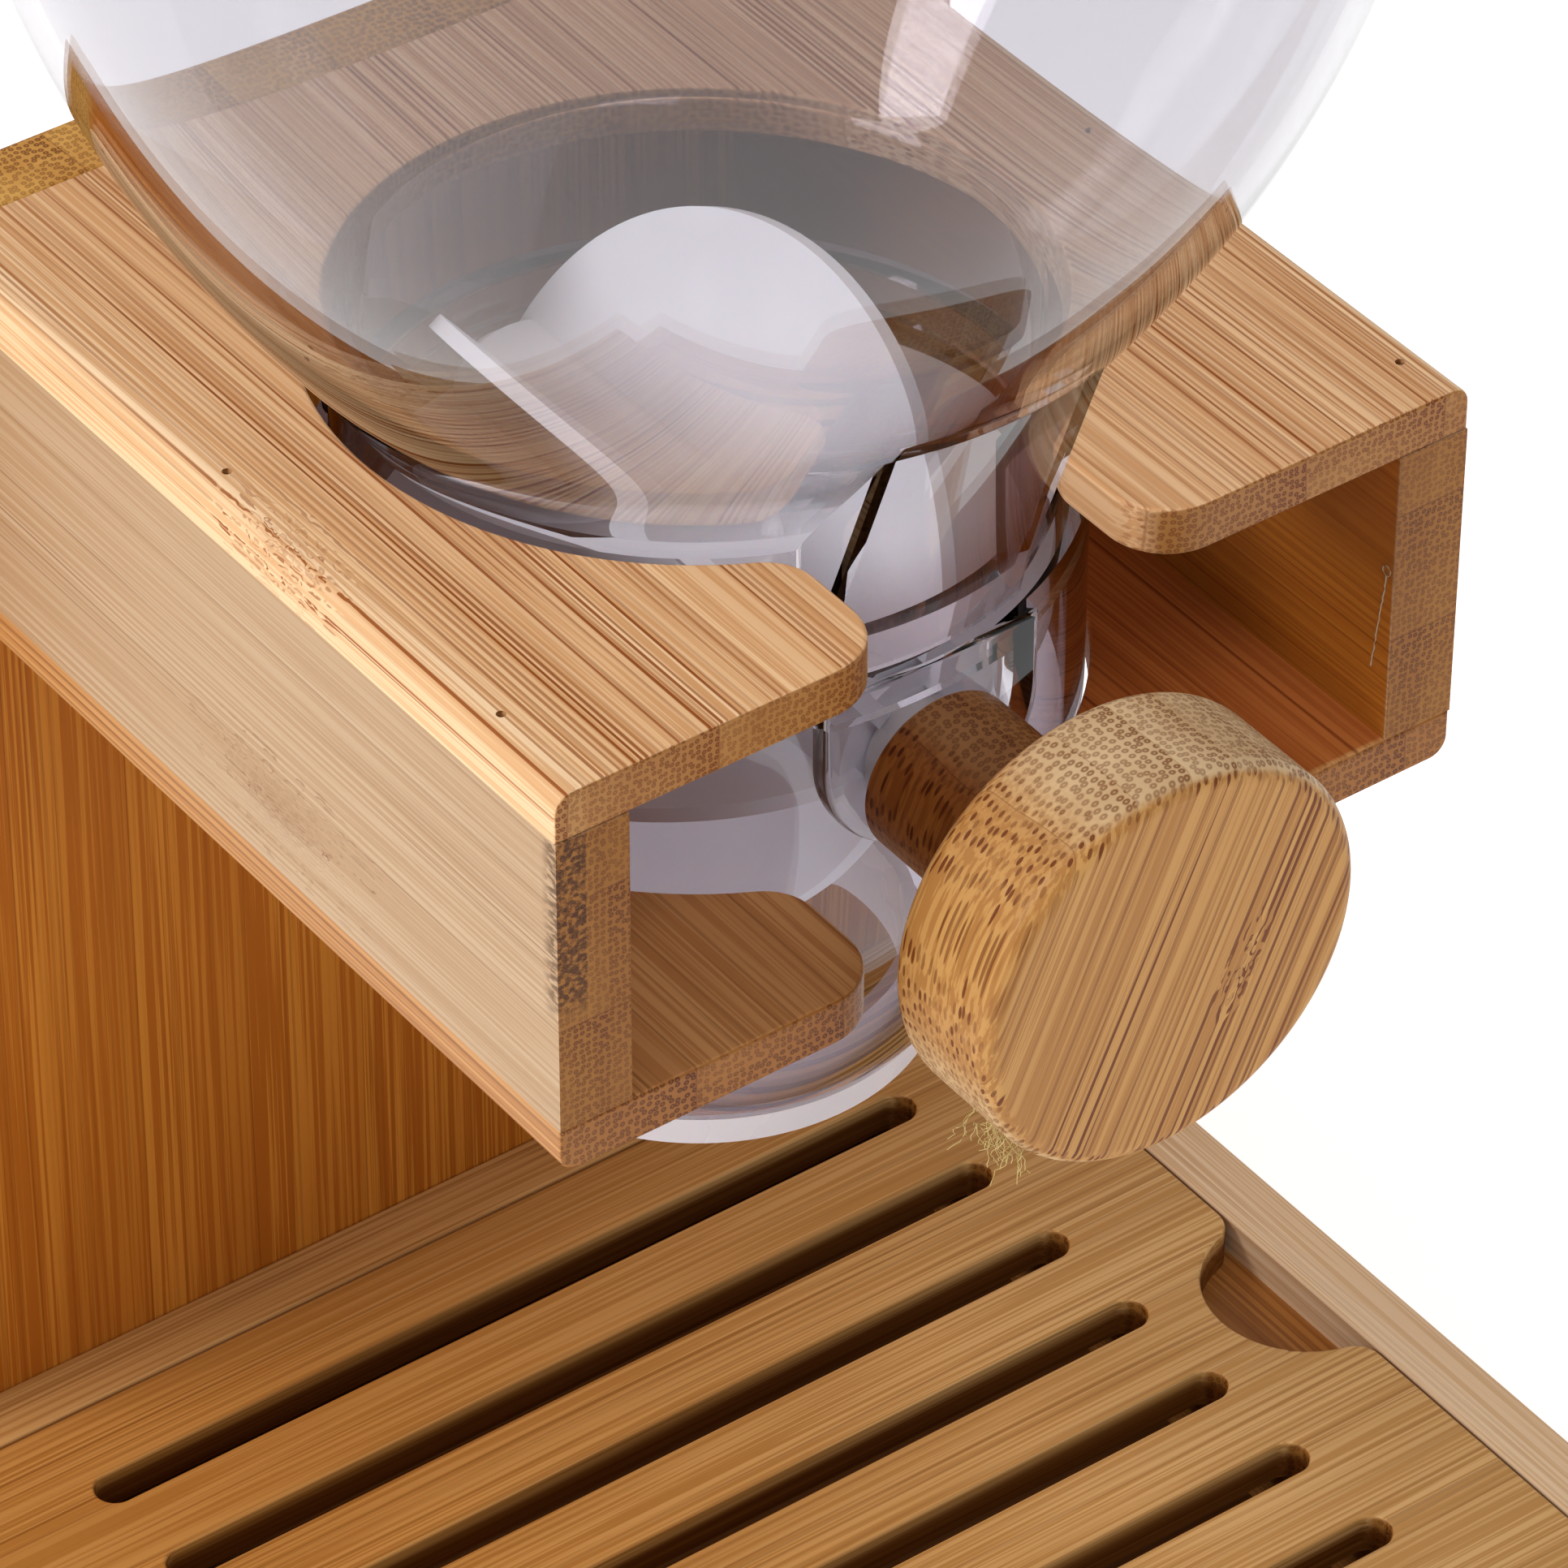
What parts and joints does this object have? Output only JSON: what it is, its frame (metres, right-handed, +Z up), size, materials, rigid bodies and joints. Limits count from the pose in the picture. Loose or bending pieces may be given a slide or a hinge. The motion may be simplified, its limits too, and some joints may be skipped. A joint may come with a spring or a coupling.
{
  "type": "rotary dry-goods dispenser",
  "caption": "Bamboo stand with a slotted tray and a bracket that holds a clear bowl over a hand-turned paddle wheel, which drops powder or dry goods through a round outlet.",
  "frame": {"origin": "on the table under the middle of the whole object", "axes": "+X to the right seen from the front, +Y to the back, +Z up"},
  "size_m": [0.22, 0.22, 0.4573],
  "materials": {
    "bamboo_long": "satin oiled bamboo, grain front to back",
    "bamboo_cross": "satin oiled bamboo, grain side to side",
    "bamboo_upright": "satin oiled bamboo, grain upright",
    "bamboo_turned": "satin turned laminated bamboo",
    "bamboo_board": "satin oiled bamboo board",
    "clear_shell": "polished clear moulding",
    "milky_plastic": "milky moulding",
    "white_soft": "soft white moulding",
    "bush_plastic": "white low-friction moulding",
    "core_plastic": "grey moulding",
    "foot_rubber": "dark rubber",
    "seal_rubber": "pale silicone",
    "steel": "bright steel"
  },
  "bodies": {
    "stand": {"base_rail_front": "bamboo_cross", "base_rail_rear": "bamboo_cross", "base_rail_left": "bamboo_long", "base_rail_right": "bamboo_long", "base_floor": "bamboo_board", "tray_cleat_left": "bamboo_long", "tray_cleat_right": "bamboo_long", "rubber_feet": "foot_rubber", "back_panel": "bamboo_upright", "base_screws": "steel", "bracket_top_plate": "bamboo_long", "bracket_bottom_plate": "bamboo_long", "bracket_wall_left": "bamboo_long", "bracket_wall_right": "bamboo_long", "bracket_screws": "steel", "brad_nails": "steel"},
    "tray": {"slotted_tray": "bamboo_cross"},
    "hopper": {"hopper_bowl": "clear_shell", "wheel_housing": "clear_shell", "outlet_ring": "milky_plastic", "front_bush": "bush_plastic", "rear_bush": "bush_plastic"},
    "rotor": {"turning_knob": "bamboo_turned", "drive_spindle": "steel", "wheel_core": "core_plastic", "hub_pin": "steel", "paddle_wheel": "white_soft"},
    "lid": {"lid_board": "bamboo_board", "lid_plug": "bamboo_board", "lid_seal": "seal_rubber", "lid_screws": "steel"}
  },
  "joints": [
    {"name": "tray_lift", "type": "slide", "parent": "stand", "child": "tray", "axis": [0, 0, 1], "range_m": [0, 0.06]},
    {"name": "hopper_lift", "type": "slide", "parent": "stand", "child": "hopper", "axis": [0, 0, 1], "range_m": [0, 0.13]},
    {"name": "wheel_turn", "type": "hinge", "parent": "hopper", "child": "rotor", "pos_m": [0, 0.0076, 0.2024], "axis": [0, 1, 0], "continuous": true},
    {"name": "lid_lift", "type": "slide", "parent": "hopper", "child": "lid", "axis": [0, 0, 1], "range_m": [0, 0.08]}
  ]
}
